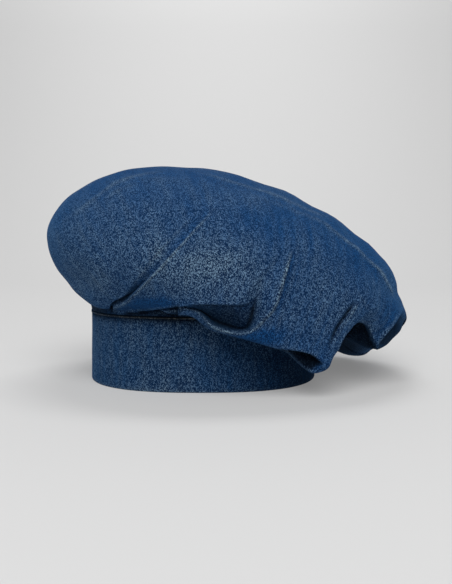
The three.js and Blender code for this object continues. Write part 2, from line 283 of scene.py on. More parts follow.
def denim(name, warp, weft, dye):
    """A material of that twill, on the piece's flat cloth map, with the piece's own wear attribute and
    its painted shade attribute, which darkens the colour where shade falls, a soft cloth sheen and the
    relief of its threads."""
    mm_per_metre = 1000.0
    material = bpy.data.materials.new(name)
    material.use_nodes = True
    tree = material.node_tree
    shader = tree.nodes["Principled BSDF"]
    flat = add_node(tree, "ShaderNodeUVMap", uv_map="flat_cloth").outputs[0]
    cloth = add_node(tree, "ShaderNodeVectorMath", {0: flat, "Scale": mm_per_metre},
                     operation="SCALE").outputs[0]
    spot = tree.nodes.new("ShaderNodeTexCoord").outputs["Object"]
    place = add_node(tree, "ShaderNodeVectorMath", {0: spot, "Scale": mm_per_metre},
                     operation="SCALE").outputs[0]
    wear = add_node(tree, "ShaderNodeAttribute", attribute_name="wear").outputs["Fac"]
    # Painted shade: one number for each point, read from the piece.
    painted_shade = add_node(tree, "ShaderNodeAttribute", attribute_name="painted_shade").outputs["Fac"]
    twill = tree.nodes.new("ShaderNodeGroup")
    twill.node_tree = denim_twill
    for key, value in {"Warp": warp, "Weft": weft, "Dye": dye}.items():
        twill.inputs[key].default_value = (*value, 1)
    for key, value in {"Cloth": cloth, "Place": place, "Wear": wear, "Depth": painted_shade}.items():
        tree.links.new(value, twill.inputs[key])
    bump = add_node(tree, "ShaderNodeBump", {
        "Height": twill.outputs["Relief"], "Strength": 0.5, "Distance": 0.0004,
    })
    tree.links.new(twill.outputs["Colour"], shader.inputs["Base Color"])
    tree.links.new(bump.outputs[0], shader.inputs["Normal"])
    shader.inputs["Roughness"].default_value = 0.9
    shader.inputs["Specular IOR Level"].default_value = 0.045
    shader.inputs["Sheen Weight"].default_value = 0.12
    shader.inputs["Sheen Roughness"].default_value = 0.5
    shader.inputs["Sheen Tint"].default_value = (0.1, 0.42, 1.0, 1)
    return material


band_points, band_flat = (grid[::-1] for grid in folded_strip())
band_cloth = loop_mesh("band_cloth", band_points, True, True)
cloth_map(band_cloth, band_flat)
fold_wear = 0.35 * bell(band_points[..., 2], 2.5 * mm)
# Painted shade on the band: darker just under the welt, where the seam's shade falls, and at the right
# of the front, standing in for the shadow of the lobes that hang over it; there the band is also less
# worn.
under_welt = bell(band_points[..., 2] - band_top, 3.5 * mm)
under_lobes = np.clip((band_points[..., 0] + 15 * mm) / (60 * mm), 0, 1) * (band_points[..., 1] < 0)
point_value(band_cloth, "wear", fold_wear - 0.3 * under_lobes)
point_value(band_cloth, "painted_shade", np.clip(0.7 * under_welt + 0.63 * under_lobes, 0, 1))
band_cloth.data.materials.append(denim(
    "band_denim", warp=(0.0005, 0.007, 0.029), weft=(0.165, 0.24, 0.295), dye=(0.0055, 0.051, 0.15),
))
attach(band_cloth, "root")
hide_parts("band")

# Welt: the trimmed edge of the seam, turned and pressed into a narrow roll between the band and the
# crown. It is the same denim in dark grey and tan threads, rubbed to the pale thread below its middle,
# and painted darker above and below that with painted shade, where the seam's shade falls.
welt_low, welt_high = (np.array(corner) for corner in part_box("seam_welt"))
welt_half = (welt_high - welt_low)[:2] / 2
welt_height = welt_high[2] - welt_low[2]
welt_depth = 2.4 * mm
stitches_round = 250


def rolled_edge():
    """A section whose depth and height are the cosine and the sine of an angle, each raised to
    0.8 with its sign kept. It is carried round the oval, puckered by a small sine where each
    stitch of the seam pulls it in."""
    turn = np.linspace(0, 2 * np.pi, 720, endpoint=False)
    bend = np.linspace(0, 2 * np.pi, 20, endpoint=False)
    stitch_pucker = 0.12 * mm * np.sin(stitches_round * turn)
    inwards, upwards = (np.sign(wave) * np.abs(wave) ** 0.8 for wave in (np.cos(bend), np.sin(bend)))
    inset = welt_depth / 2 * (1 - inwards)[:, None] + stitch_pucker
    up = welt_low[2] + welt_height / 2 * (1 + upwards)[:, None]
    points, outline_length = carried_round(turn, welt_half, np.abs(inset), up)
    flat = np.stack(np.broadcast_arrays(outline_length[None], bend[:, None] * welt_height / 2), -1)
    return points, flat


welt_points, welt_flat = rolled_edge()
seam_welt_cloth = loop_mesh("seam_welt_cloth", welt_points, True, True)
cloth_map(seam_welt_cloth, welt_flat)
from_crest = (welt_points[..., 2] - welt_low[2]) / welt_height - 0.3
point_value(seam_welt_cloth, "wear", bell(from_crest, 0.22))
# Painted shade above and below the pale line, where the seam's shade falls.
point_value(seam_welt_cloth, "painted_shade", np.clip(np.abs(from_crest) / 0.35 - 0.4, 0, 1))
seam_welt_cloth.data.materials.append(denim(
    "welt_denim", warp=(0.003, 0.005, 0.009), weft=(0.085, 0.095, 0.1), dye=(0.006, 0.008, 0.012),
))
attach(seam_welt_cloth, "root")
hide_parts("seam_welt")

# Crown: one disc of denim about 56 cm across, gathered into the band by knife pleats. It is
# puffed up at the left, and at the right it slumps past the band and hangs in soft lobes.
crown_length = 0.324
crown_depth = 0.25
crown_rise = 0.134
crown_droop = 0.048
crown_base = band_top - 2.3 * mm
crown_seam = band_top + 2.8 * mm
neck_rise = 4.5 * mm
neck_out = 1.5 * mm

# Stations up the cloth: place, middle as a share of the length, spread, rise at left and right.
stations = np.array([
    [0.5, 0.058, 1.0, 0.52, 0.0],
    [0.64, 0.07, 0.9, 0.79, 0.3],
    [0.82, 0.04, 0.55, 0.955, 0.725],
    [1.0, -0.04, 0.0, 0.982, 0.982],
])
# Sections round the crown: azimuth, how far out and how far down the lowest fold lies, and how
# far the rim moves out and down.
sections = np.array([
    [-180, 0.24, -0.34, -0.03, 0],
    [-150, 0.23, -0.26, 0, 0],
    [-134, 0.2, -0.2, 0, 0],
    [-118, 0.3, -0.3, 0, 0.02],
    [-104, 0.5, -0.22, 0, 0.05],
    [-92, 0.75, 0.02, 0, 0.1],
    [-78, 0.85, 0.25, 0, 0.1],
    [-70, 0.9, 0.42, 0, 0.1],
    [-63, 0.88, 0.72, 0, 0.1],
    [-56, 0.92, 0.35, 0.02, 0.1],
    [-46, 0.85, -0.04, 0, 0.1],
    [-35, 0.9, 0.48, 0.02, 0.05],
    [-20, 0.79, 0.46, 0.02, 0],
    [0, 0.68, 0.73, 0, 0],
    [24, 0.76, 1.02, 0.02, 0],
    [37, 0.82, 0.95, 0, 0],
    [50, 0.7, 0.4, 0, 0],
    [66, 0.85, 0.75, 0.02, 0],
    [84, 0.6, 0.15, 0, 0],
    [108, 0.5, 0.15, 0, 0],
    [140, 0.3, -0.15, 0, 0],
])


def smooth_curve(knots, values, place):
    """Cubic pieces through the knots, whose slopes come from the two neighbours of each."""
    slope = np.gradient(values)
    slope[1:-1] = (values[2:] - values[:-2]) / (knots[2:] - knots[:-2])
    slope[0] = (values[1] - values[0]) / (knots[1] - knots[0])
    slope[-1] = (values[-1] - values[-2]) / (knots[-1] - knots[-2])
    i = np.clip(np.searchsorted(knots, place, side="right") - 1, 0, len(knots) - 2)
    run = knots[i + 1] - knots[i]
    rise = values[i + 1] - values[i]
    u = (place - knots[i]) / run
    bend = (slope[i] * run - rise) * (1 - u) + (rise - slope[i + 1] * run) * u
    return values[i] + rise * u + u * (1 - u) * bend


def turned(azimuth):
    """The same azimuth, from -180 up to 180 degrees."""
    return (azimuth + 180) % 360 - 180


def around(column, azimuth):
    """A column of the sections at an azimuth, repeated every full turn."""
    knots = np.concatenate([sections[-3:, 0] - 360, sections[:, 0], sections[:3, 0] + 360])
    values = np.concatenate([sections[-3:, column], sections[:, column], sections[:3, column]])
    return smooth_curve(knots, values, turned(azimuth))


def crown_profile(azimuth):
    """The nine rows that the cloth passes through at each azimuth, from the seam to the top."""
    angle = np.radians(azimuth)
    seam = oval(angle, band_half) - band_middle[:2]
    sideways = (1 + np.cos(angle)) / 2
    rows = [np.stack([
        middle * crown_length + spread * crown_length / 2 * np.cos(angle),
        spread * crown_depth / 2 * np.sin(angle),
        crown_base + crown_rise * (left + (right - left) * sideways),
    ], -1) for _, middle, spread, left, right in stations]
    rim = rows[0]
    rim[..., :2] += (rim[..., :2] - seam) * around(3, azimuth)[..., None]
    rim[..., 2] -= crown_droop * around(4, azimuth)
    reach = np.linalg.norm(rim[..., :2] - seam, axis=-1)
    fold_out = around(1, azimuth)
    fold_height = crown_base - crown_droop * around(2, azimuth)
    neck_top = crown_seam + neck_rise

    def outwards(share, height):
        place = seam + (rim[..., :2] - seam) * share[..., None]
        return np.concatenate([place, np.broadcast_to(height, share.shape)[..., None]], -1)

    lower = [
        outwards(fold_out * 0, crown_seam),
        outwards(neck_out / reach, neck_top),
        outwards(fold_out * 0.5, neck_top + 0.7 * (fold_height - neck_top)),
        outwards(fold_out, fold_height),
        outwards(0.32 * fold_out + 0.68, fold_height + 0.43 * (rim[..., 2] - fold_height)),
    ]
    return np.stack(lower + rows)


profile_places = np.array([0, 0.04, 0.12, 0.24, 0.36, *stations[:, 0]])


def on_form(azimuth, place):
    """The smooth form: a curve through the profile's rows, whose heading at each row is the mean
    of the two spans there, each weighted by the length of the other."""
    rows = crown_profile(azimuth)
    before = rows[0].copy()
    before[..., 2] = 2 * rows[0][..., 2] - rows[1][..., 2]
    over = crown_profile(azimuth + 180)[-2]
    rows = np.concatenate([before[None], rows, over[None]])
    i = np.clip(np.searchsorted(profile_places, place, side="right") - 1, 0, len(profile_places) - 2)
    rows = np.moveaxis(rows, 0, -2)
    spans = np.diff(rows, axis=-2)
    size = np.linalg.norm(spans, axis=-1, keepdims=True)
    heading = spans[..., :-1, :] * size[..., 1:, :] / size[..., :-1, :]
    heading += spans[..., 1:, :] * size[..., :-1, :] / size[..., 1:, :]
    heading /= size[..., 1:, :] + size[..., :-1, :]

    def pick(table, k):
        return np.take_along_axis(table, k[..., None, None], -2)[..., 0, :]

    span, length = pick(spans, i + 1), pick(size, i + 1)
    u = ((place - profile_places[i]) / (profile_places[i + 1] - profile_places[i]))[..., None]
    bend = (pick(heading, i) * length - span) * (1 - u) + (span - pick(heading, i + 1) * length) * u
    return pick(rows, i + 1) + span * u + u * (1 - u) * bend


# Pleats: azimuth at the seam, at the lowest fold, at the rim and above, where they begin and fade,
# their depth, and the columns of faces from each to the next.
pleat_depth = 7.0 * mm
pleat_return = 2.0 * mm
pleat_valley = 8.0 * mm
pleat_reach = 20.0 * mm
pleats = np.array([
    [-150, -140, -124, -109, 0.2, 0.7, 0.0, 60],
    [-136, -123, -107, -95, 0.2, 0.7, 0.0, 66],
    [-110, -103, -96, -88, 0.13, 0.42, 0.2, 84],
    [-88, -82, -76.5, -73, 0.13, 0.66, 0.0, 102],
    [-66, -62.5, -54, -50, 0.24, 0.6, 0.0, 81],
    [-44, -39, -37, -36, 0.2, 0.58, 0.3, 51],
    [-15, -13, -14, -16, 0.13, 0.6, 0.4, 27],
    [15, 14, 12, 9, 0.13, 0.66, 0.4, 27],
    [45, 47, 50, 54, 0.13, 0.72, 1.0, 27],
    [75, 77, 80, 83, 0.13, 0.62, 0.8, 24],
    [105, 103, 100, 97, 0.16, 0.74, 1.0, 24],
    [135, 132, 126, 121, 0.13, 0.66, 0.9, 21],
    [165, 163, 158, 154, 0.13, 0.58, 0.7, 36],
])


def pleat_line(pleat, place):
    """The azimuth of a pleat's valley at a place up the cloth."""
    return smooth_curve(np.array([0, 0.24, 0.5, 0.7, 1.0]), pleat[[0, 1, 2, 3, 3]], place)


def ease(start, end, place):
    """A step from 0 to 1 that is flat at both ends."""
    share = np.clip((place - start) / (end - start), 0, 1)
    return share * share * (3 - 2 * share)


def column_azimuths(place):
    """Columns of the mesh follow the pleats: each valley has one, the return after it three, and
    the others spread evenly from there to the next pleat."""
    lines = [pleat_line(pleat, place) for pleat in pleats]
    found = []
    for k, pleat in enumerate(pleats):
        gap = (lines[(k + 1) % len(pleats)] - lines[k]) % 360
        radius = np.linalg.norm(on_form(lines[k], np.minimum(place, 0.8))[..., :2], axis=-1)
        edge = np.minimum(np.degrees(pleat_return / radius), 0.2 * gap)
        count = int(pleat[7])
        beyond = np.linspace(0, 1, count - 2)[:-1] ** 1.1
        found.append(lines[k][:, None] + edge[:, None] * np.array([0, 0.33, 0.67]))
        found.append(lines[k][:, None] + edge[:, None] + (gap - edge)[:, None] * beyond)
    return np.concatenate(found, 1)


# Hollows: azimuth, place, half width in degrees, reach down and up, climb of the deepest line by
# degree, and depth as a share of the deepest one.
hollow_depth = 10 * mm
hollows = np.array([
    [-12, 0.57, 30, 0.05, 0.06, 0, 0.5],
    [-13, 0.36, 20, 0.1, 0.12, 0, 0.8],
    [-95, 0.6, 26, 0.14, 0.14, 0.003, 0.14],
    [-150, 0.55, 22, 0.16, 0.2, 0, 0.1],
])
# Soft ridges, each through three azimuths and places, with a height and a reach in millimetres.
ridges = [
    ([-28, 0.6], [-46, 0.7], [-84, 0.84], 2.2, 7),
    ([-34, 0.3], [-30, 0.42], [-21, 0.52], 1.2, 4),
    ([-160, 0.62], [-135, 0.72], [-105, 0.8], 0.9, 6),
    ([-168, 0.5], [-150, 0.62], [-120, 0.7], 0.8, 5),
]

# Folds on the front, drawn as the camera sees them, in pixels of its picture. Each row of an overlap is
# across, down, depth of the lower layer in millimetres, its reach in pixels, how far the upper layer
# swells in millimetres, and the painted shade beside the edge, which darkens the colour where the fold's
# shade falls. The lower layer is at the right of the way along. After the rows come the lowest place
# that the fold touches and the share of the depth that goes straight back, not into the cloth.
overlaps = {
    "front_pleat": ([
        (214, 206, 0, 6, 0, 0), (207, 215.4, 0.4, 7, 0.4, 0), (195, 227.6, 0.8, 9, 0.8, 0),
        (185.4, 238.5, 1.1, 10, 1.0, 0), (175.7, 249.4, 1.3, 11, 1.1, 0), (166, 260.3, 1.6, 11, 1.2, 0),
        (153.9, 273.6, 2.2, 10, 1.4, 0.05), (141.8, 285.7, 3.2, 8, 1.5, 0.2),
        (132, 295.4, 5.0, 5, 1.5, 0.6), (126, 300.6, 7.0, 4, 1.5, 1), (119, 303.6, 7.5, 3.5, 1.5, 1),
        (114, 306.3, 5.0, 3, 1.2, 1), (113.2, 309, 3.0, 2.5, 1.0, 0.8), (114.5, 311.6, 0, 2, 0.5, 0.3),
    ], -0.03, 0.0),
    "gap_over_seam": ([
        (119, 313, 0, 2, 0.2, 0), (128, 312.2, 1.5, 6, 0.3, 1), (140, 310.9, 3.0, 8, 0.5, 1),
        (151, 309.6, 4.5, 9, 0.6, 1), (165.7, 308, 5.5, 10, 0.6, 1), (176, 307.2, 5.5, 10, 0.4, 1),
        (179.4, 307, 3.0, 8, 0, 1),
    ], -0.03, 1.0),
    "gap_end": ([
        (179.5, 306.5, 0, 3, 0, 0.5), (179.2, 308.5, 4.0, 8, 0.4, 1), (178.7, 315, 4.0, 8, 0.3, 1),
    ], -0.03, 1.0),
    "pouch_lip": ([
        (184, 306.5, 0, 10, 0, 0), (194, 305, 1.6, 18, 0, 0.6), (208, 304.3, 2.8, 26, 0, 0.65),
        (224, 304.6, 3.0, 30, 0, 0.65), (238, 305, 2.6, 30, 0, 0.55), (249, 303, 1.4, 24, 0, 0.35),
        (258, 296, 0, 14, 0, 0),
    ], 0.1, 1.0),
    "ridge_edge": ([
        (262, 324, 0, 8, 0, 0), (270, 314, 0.8, 9, 0.2, 0.1), (276.3, 305, 1.6, 10, 0.4, 0.2),
        (282.4, 286, 2.2, 10, 0.8, 0.3), (287.5, 269, 2.0, 9, 1.0, 0.2), (291, 257, 1.2, 7, 0.6, 0.1),
        (294, 248, 0, 6, 0, 0),
    ], 0.3, 0.0),
    "lobe_mouth": ([
        (268, 347.8, 0, 2, 0, 0), (286.6, 349.6, 3.0, 8, 0.1, 1.2), (295, 350.8, 9.0, 20, 0.2, 1.8),
        (302.4, 351.9, 12, 26, 0.3, 1.8), (311.6, 355.1, 12, 24, 0.3, 1.8),
        (318.1, 359.7, 8.0, 16, 0.2, 1.6), (323, 364, 0, 8, 0, 0.2),
    ], 0.1, 1.0),
    "lobe_crease": ([
        (358, 300, 0, 3, 0, 0), (355, 304.5, 1.2, 3.5, 0.3, 0.5), (351.2, 311, 2.4, 4, 0.5, 0.9),
        (346.5, 319, 2.8, 4, 0.5, 0.9), (340, 328.5, 2.8, 4, 0.5, 0.9), (335.5, 336.5, 2.2, 4, 0.4, 0.8),
        (332, 344, 1.0, 3.5, 0.2, 0.5), (329, 352, 0, 3, 0, 0),
    ], 0.2, 0.0),
    "arch": ([
        (337, 356, 10, 30, 0, 1.3), (338.5, 350.5, 12, 30, 0.1, 1.3), (344, 338.5, 12, 30, 0.2, 1.3),
        (350.5, 330.1, 12, 30, 0.2, 1.3), (355, 324.6, 12, 30, 0.1, 1.3),
        (361.3, 322.6, 12, 30, 0.1, 1.3), (366.8, 325, 12, 30, 0.2, 1.3), (370, 330.1, 12, 30, 0.2, 1.3),
        (372.8, 337.5, 12, 30, 0.2, 1.3), (375.4, 344, 11, 30, 0.1, 1.3), (377, 352, 8, 30, 0, 1.3),
    ], 0.08, 1.0),
    "end_flap": ([
        (379, 347, 0.4, 14, 0, 0.8), (381, 341, 1.0, 24, 0.5, 1.2), (386, 331.5, 1.5, 24, 0.7, 1.2),
        (391, 324, 1.5, 24, 0.7, 1.2), (396, 318, 1.2, 24, 0.6, 1.2), (400.5, 313.5, 0.8, 20, 0.4, 0.8),
        (404, 308.5, 0, 8, 0, 0),
    ], 0.12, 1.0),
}
# The pouch under the front bulge: its deepest line, each row with its depth in millimetres and
# its reach in pixels on the left of the way along, which is up, and on the right.
pouch_valley = [
    (183, 307.5, 0, 2, 1), (190, 311.2, 4, 6, 2), (199.5, 316.4, 8, 11, 2.5),
    (212.4, 322, 10.5, 16.5, 3), (225.3, 326.8, 11.5, 21, 3), (234, 329.6, 11.5, 24, 3),
    (241, 331.0, 11, 25, 2.5), (247, 329.4, 10, 25, 3.5), (251, 321, 8.5, 22, 8),
    (254, 308, 6, 16, 13), (258, 295, 4.2, 12, 14), (263, 283, 2.6, 8, 10),
    (270, 271, 1.8, 5, 7), (281, 257, 1.0, 3, 5), (287, 249, 0, 3, 4),
]
# Thin pale lines along edges and ridges, partly wear and partly painted highlight where an edge or ridge
# catches the light: across, down and how strong.
rubbed_and_lit_lines = [
    [(180, 308, 0.4), (190.8, 313.3, 0.6), (203.8, 322.4, 0.7), (221, 329.7, 1.0),
     (240, 333.3, 1.0), (253, 330, 1.0), (264, 320.2, 0.9), (275.3, 307.3, 0.8),
     (282, 291, 0.7), (287, 270, 0.6), (292, 255, 0)],
    [(357, 303, 0.2), (354, 309, 0.4), (349, 319, 0.2), (341, 333, 0.05)],
    [(128, 292, 0.05), (143, 272, 0.2), (160, 250, 0.25), (180, 228, 0.2), (196, 212, 0.05)],
    [(287, 351, 0.3), (292.2, 358.5, 0.5), (299, 364.4, 0.5), (307, 369.4, 0.4),
     (316, 372, 0.1)],
    [(150, 313, 0.4), (165, 312.2, 0.8), (178, 311.8, 0.5)],
    [(253, 196, 0.1), (300, 212, 0.4), (340, 234, 0.9), (374, 264, 1.2), (392, 287, 1.1),
     (396, 296, 0.3)],
    [(352, 284, 0.05), (362, 300, 0.25), (371, 313, 0.1)],
    [(60, 226, 0.05), (76, 211, 0.5), (103, 190, 0.65), (137, 176, 0.6), (166, 170.5, 0.1)],
    [(72, 226, 0.05), (88, 209, 0.35), (112, 193, 0.4), (140, 183, 0.1)],
    [(196, 172, 0.05), (224, 179, 0.6), (262, 190, 0.75), (306, 206, 0.7), (330, 218, 0.2)],
]
# Where the cloth is pulled off its smooth form: across, down, the two reaches in pixels, and how
# far along its normal and straight up in millimetres.
pulls = np.array([
    [67, 283, 18, 15, -4.0, 0],
    [262, 180, 26, 12, -2.4, 0],
    [310, 203, 26, 12, -2.6, 0],
    [354, 233, 22, 12, -2.8, 0],
    [378, 254, 12, 10, -1.6, 0],
    [400, 330, 10, 11, 6.5, 0],
    [407, 305, 8, 7, -2.5, 0],
    [397, 285, 8, 9, 2.0, 0],
    [381, 351, 7, 6, 0, 1.6],
    [53, 262, 11, 14, -1.0, 0],
    [80, 187, 22, 15, -2.0, 0],
    [45, 244, 8, 12, -0.9, 0],
    [81, 298, 12, 9, -1.8, 0],
    [326, 366, 8, 8, 2.5, 0],
    [190, 319, 14, 8, 0, 4.5],
    [199, 323, 10, 7, 0, 3.0],
    [384, 346, 7, 8, -2.0, 0],
])
# Where the cloth is made paler, or bluer and darker where the last number is below 0: across, down, the
# two reaches in pixels, and how much.
paler_or_bluer_patches = np.array([
    [205, 268, 55, 30, 0.55],
    [88, 284, 26, 16, 0.25],
    [318, 285, 34, 30, 0.15],
    [100, 235, 40, 40, 0.12],
    [262, 335, 26, 9, -0.45],
    [152, 302, 26, 6, -0.3],
    [372, 246, 44, 30, -0.6],
    [392, 318, 18, 30, -0.32],
    [258, 341, 26, 9, -0.3],
    [160, 170, 100, 9, -0.35],
    [60, 190, 22, 30, -0.3],
    [158, 252, 12, 24, 0.18],
    [150, 306, 34, 7, -0.5],
    [300, 215, 60, 24, -0.4],
    [108, 187, 46, 16, -0.3],
    [262, 182, 60, 11, -0.25],
])


def seen(point):
    """Where the camera sees each point: across and down, in pixels of its picture."""
    away = point[..., 1] + eye_distance
    across = picture_width / 2 + focal_length * (point[..., 0] - camera.location.x) / away
    horizon = picture_height / 2 - lens_raise
    return np.stack([across, horizon - focal_length * (point[..., 2] - eye_height) / away], -1)


def smooth_rows(rows, count=48):
    """A smooth line through the rows of a table, column by column."""
    rows = np.array(rows, float)
    knots = np.arange(len(rows), dtype=float)
    fine = np.linspace(0, len(rows) - 1, count)
    return np.stack([smooth_curve(knots, column, fine) for column in rows.T], -1)


def beside(line, spot):
    """For each spot: the distance to the nearest place on a line, plus or minus one for its right
    or left side, and the line's other columns there."""
    nearest = np.full(spot.shape[:-1], np.inf)
    side = np.zeros(spot.shape[:-1])
    values = np.zeros((*spot.shape[:-1], line.shape[1] - 2))
    for start, end in zip(line[:-1], line[1:]):
        span = end[:2] - start[:2]
        offset = spot - start[:2]
        share = np.clip(offset @ span / (span @ span), 0, 1)
        gap = np.linalg.norm(offset - share[..., None] * span, axis=-1)
        closer = gap < nearest
        nearest = np.where(closer, gap, nearest)
        side = np.where(closer, np.sign(span[0] * offset[..., 1] - span[1] * offset[..., 0]), side)
        here = start[2:] + share[..., None] * (end[2:] - start[2:])
        values = np.where(closer[..., None], here, values)
    return nearest, side, values


def front_folds(place, point):
    """The folds drawn on the front. At an overlap the lower layer drops by its depth within one pixel
    and comes back in a straight slope; the upper layer swells by a bell curve along its edge. The pouch
    sinks to its deepest line, in straight slopes from both sides. Gives the lift along the cloth's
    normal, the recess straight back, the wear, the painted shade, which darkens the colour beside the
    overlaps and in the pouch where shade falls, and the pale lines, partly wear and partly painted
    highlight, which stay light in any painted shade."""
    swell_width = 7
    rub_width = 1.5
    line_height = 0.7 * mm
    spot = seen(point)
    round_the_end = 70 * mm * ease(372, 388, spot[..., 0])
    front = ease(20 * mm, 45 * mm, round_the_end - point[..., 1])
    lift = np.zeros(place.shape)
    recess = np.zeros(place.shape)
    worn = np.zeros(place.shape)
    painted_shading = np.zeros(place.shape)
    for rows, lowest, backwards in overlaps.values():
        gap, side, values = beside(smooth_rows(rows), spot)
        deep, reach, swell, shade = np.maximum(np.moveaxis(values, -1, 0), 0)
        touch = front * ease(lowest, lowest + 0.03, place)
        slope = np.clip(1 - (gap - 1.0) / np.maximum(reach, 1), 0, 1)
        low = (side > 0) * np.clip(gap, 0, 1) * slope * deep * mm * touch
        high = bell(gap, swell_width) * np.where(side > 0, np.clip(1 - gap, 0, 1), 1)
        lift += swell * mm * high * touch - low * (1 - backwards)
        recess += low * backwards
        worn += 0.8 * touch * np.clip(swell, 0, 1) * bell(gap * side + 1.1, rub_width)
        unrubbed = np.clip(deep / 2, 0, 1) * (1 - shade) * bell(gap - 3, 4)
        worn -= 0.5 * touch * (side > 0) * unrubbed
        # Painted shade beside each overlap's edge, on the lower layer.
        painted_shading += touch * (side > 0) * np.clip(gap / 0.7, 0, 1) * shade * np.sqrt(slope)
    gap, side, values = beside(smooth_rows(pouch_valley, 90), spot)
    deep, above, below = np.maximum(np.moveaxis(values, -1, 0), 0)
    touch = front * ease(0.18, 0.22, place)
    slope = np.clip(1 - gap / np.maximum(np.where(side > 0, below, above), 1), 0, 1)
    soft = ease(248, 262, spot[..., 0])
    slope = slope * (1 - soft) + slope * slope * (3 - 2 * slope) * soft
    recess += deep * mm * slope * touch
    # Painted shade in the pouch, darkest as a slit along its deepest line.
    slit = bell(gap, np.where(side > 0, 2.8, 1.7)) * np.clip(deep / 6, 0, 1) * (1 - soft)
    painted_shading += (np.clip((deep - 2) / 9, 0, 1) * 0.4 * slope * (1 - 0.4 * soft) + slit) * touch
    # Pale lines: partly wear, partly painted highlight along lit edges and ridges; they also raise the
    # cloth a little.
    rubbed = np.zeros(place.shape)
    for rows in rubbed_and_lit_lines:
        gap, side, values = beside(smooth_rows(rows, 30), spot)
        strength = np.maximum(values[..., 0], 0) * front * ease(-0.02, 0.03, place)
        rubbed = np.maximum(rubbed, strength * bell(gap, rub_width))
        lift += line_height * strength * bell(gap, 2.2)
    worn += rubbed
    for across, down, wide, tall, much in paler_or_bluer_patches:
        patch = np.exp(-(((spot[..., 0] - across) / wide) ** 2) - ((spot[..., 1] - down) / tall) ** 2)
        worn += much * patch * front
    return lift, recess, worn, painted_shading, rubbed


def crown_lift(azimuth, place, point):
    """How far the folds lift the cloth off its smooth form, set it back and raise it, how worn each
    place is, and how much painted shade it gets. The lift is a step across each pleat, with a valley on
    one side and a long slope on the other, less the hollows, plus the ridges, a slow unevenness made of
    sines, the folds of the front and the pulls. Painted shade darkens the pleats' valleys and the cloth
    near the seam, except at the left of the front, where light gets under the crown."""
    height, recess, worn, painted_shading, rubbed = front_folds(place, point)
    degree = np.radians(np.linalg.norm(point[..., :2], axis=-1))
    for pleat in pleats:
        strength = pleat[6] * ease(pleat[4], pleat[4] + 0.16, place)
        strength = strength * (1 - ease(pleat[5] - 0.25, pleat[5], place))
        side = turned(azimuth - pleat_line(pleat, place)) * degree
        slope = 0.5 * bell(side - pleat_return, pleat_reach)
        slope = np.where(side < pleat_return, side / pleat_return - 0.5, slope)
        slope = np.where(side < 0, -0.5 * bell(side, pleat_valley), slope)
        height += pleat_depth * strength * slope
        worn += 0.6 * strength * bell(side - pleat_return, 1.1 * mm)
        # Painted shade in the pleat's valley.
        painted_shading += 0.5 * strength * bell(side + 3 * mm, 4 * mm)
    for middle, level, wide, below, over, lean, deep in hollows:
        along = turned(azimuth - middle)
        up = place - level - lean * along
        across = np.abs(along) / wide
        climb = np.where(up < 0, -up / below, up / over)
        height -= hollow_depth * deep * (1 - ease(0.35, 1, across)) * (1 - ease(0, 1, climb))
    for first, second, third, tall, reach in ridges:
        path = smooth_rows([first, second, third], 12)
        gap, along = away_from(on_form(path[:, 0], path[:, 1]), point)
        crest = bell(gap, reach * mm) * (1 - ease(0.7, 1.0, along)) * ease(0, 0.2, along)
        height += tall * mm * crest
        worn += 0.12 * crest
    draws = np.random.default_rng(4)
    spread = ease(0.2, 0.34, place) * (1 - ease(0.94, 1.0, place))
    wave_count = 16
    wave_height = 0.12 * mm
    for _ in range(wave_count):
        wave = draws.normal(size=3)
        wave /= np.linalg.norm(wave) * draws.uniform(4 * mm, 12 * mm)
        height += wave_height * spread * np.sin(point @ wave + draws.uniform(0, 2 * np.pi))
    lit_middle = 145
    lit_reach = 36
    spot = seen(point)
    lit = np.exp(-(((spot[..., 0] - lit_middle) / lit_reach) ** 4)) * (point[..., 1] < 0)
    # Painted shade on the underside near the seam, left off where light gets under the crown.
    painted_shading += (1 - ease(0.17, 0.245, place)) * (1 - 0.9 * lit)
    raised = np.zeros(place.shape)
    for across, down, wide, tall, out, up in pulls:
        patch = np.exp(-(((spot[..., 0] - across) / wide) ** 2) - ((spot[..., 1] - down) / tall) ** 2)
        height += out * mm * patch
        raised += up * mm * patch * (point[..., 1] < 0)
    painted_shading = np.clip(painted_shading, 0, 1) * (1 - np.clip(rubbed, 0, 0.9))
    return height, recess, raised, np.clip(worn, -1, 1.5), painted_shading


def away_from(path, point):
    """The distance from each point to the nearest place on a line through the path's points, and
    how far along the line that is, from 0 to 1."""
    nearest = np.full(point.shape[:-1], np.inf)
    along = np.zeros(point.shape[:-1])
    count = len(path) - 1
    for k in range(count):
        span = path[k + 1] - path[k]
        share = np.clip(((point - path[k]) @ span) / (span @ span), 0, 1)
        gap = np.linalg.norm(point - path[k] - share[..., None] * span, axis=-1)
        along = np.where(gap < nearest, (k + share) / count, along)
        nearest = np.minimum(gap, nearest)
    return nearest, along


def extreme_near(field, choose):
    """The smallest or largest value of a field within three rows and columns of each place."""
    rows = len(field)
    best = field
    for shift in (1, 2, 3):
        best = choose(best, choose(np.roll(field, shift, 1), np.roll(field, -shift, 1)))
    level = best
    for shift in (1, 2, 3):
        down = level[np.clip(np.arange(rows) - shift, 0, rows - 1)]
        up = level[np.clip(np.arange(rows) + shift, 0, rows - 1)]
        best = choose(best, choose(down, up))
    return best


crown_wall = 1.2 * mm
inner_step = 3


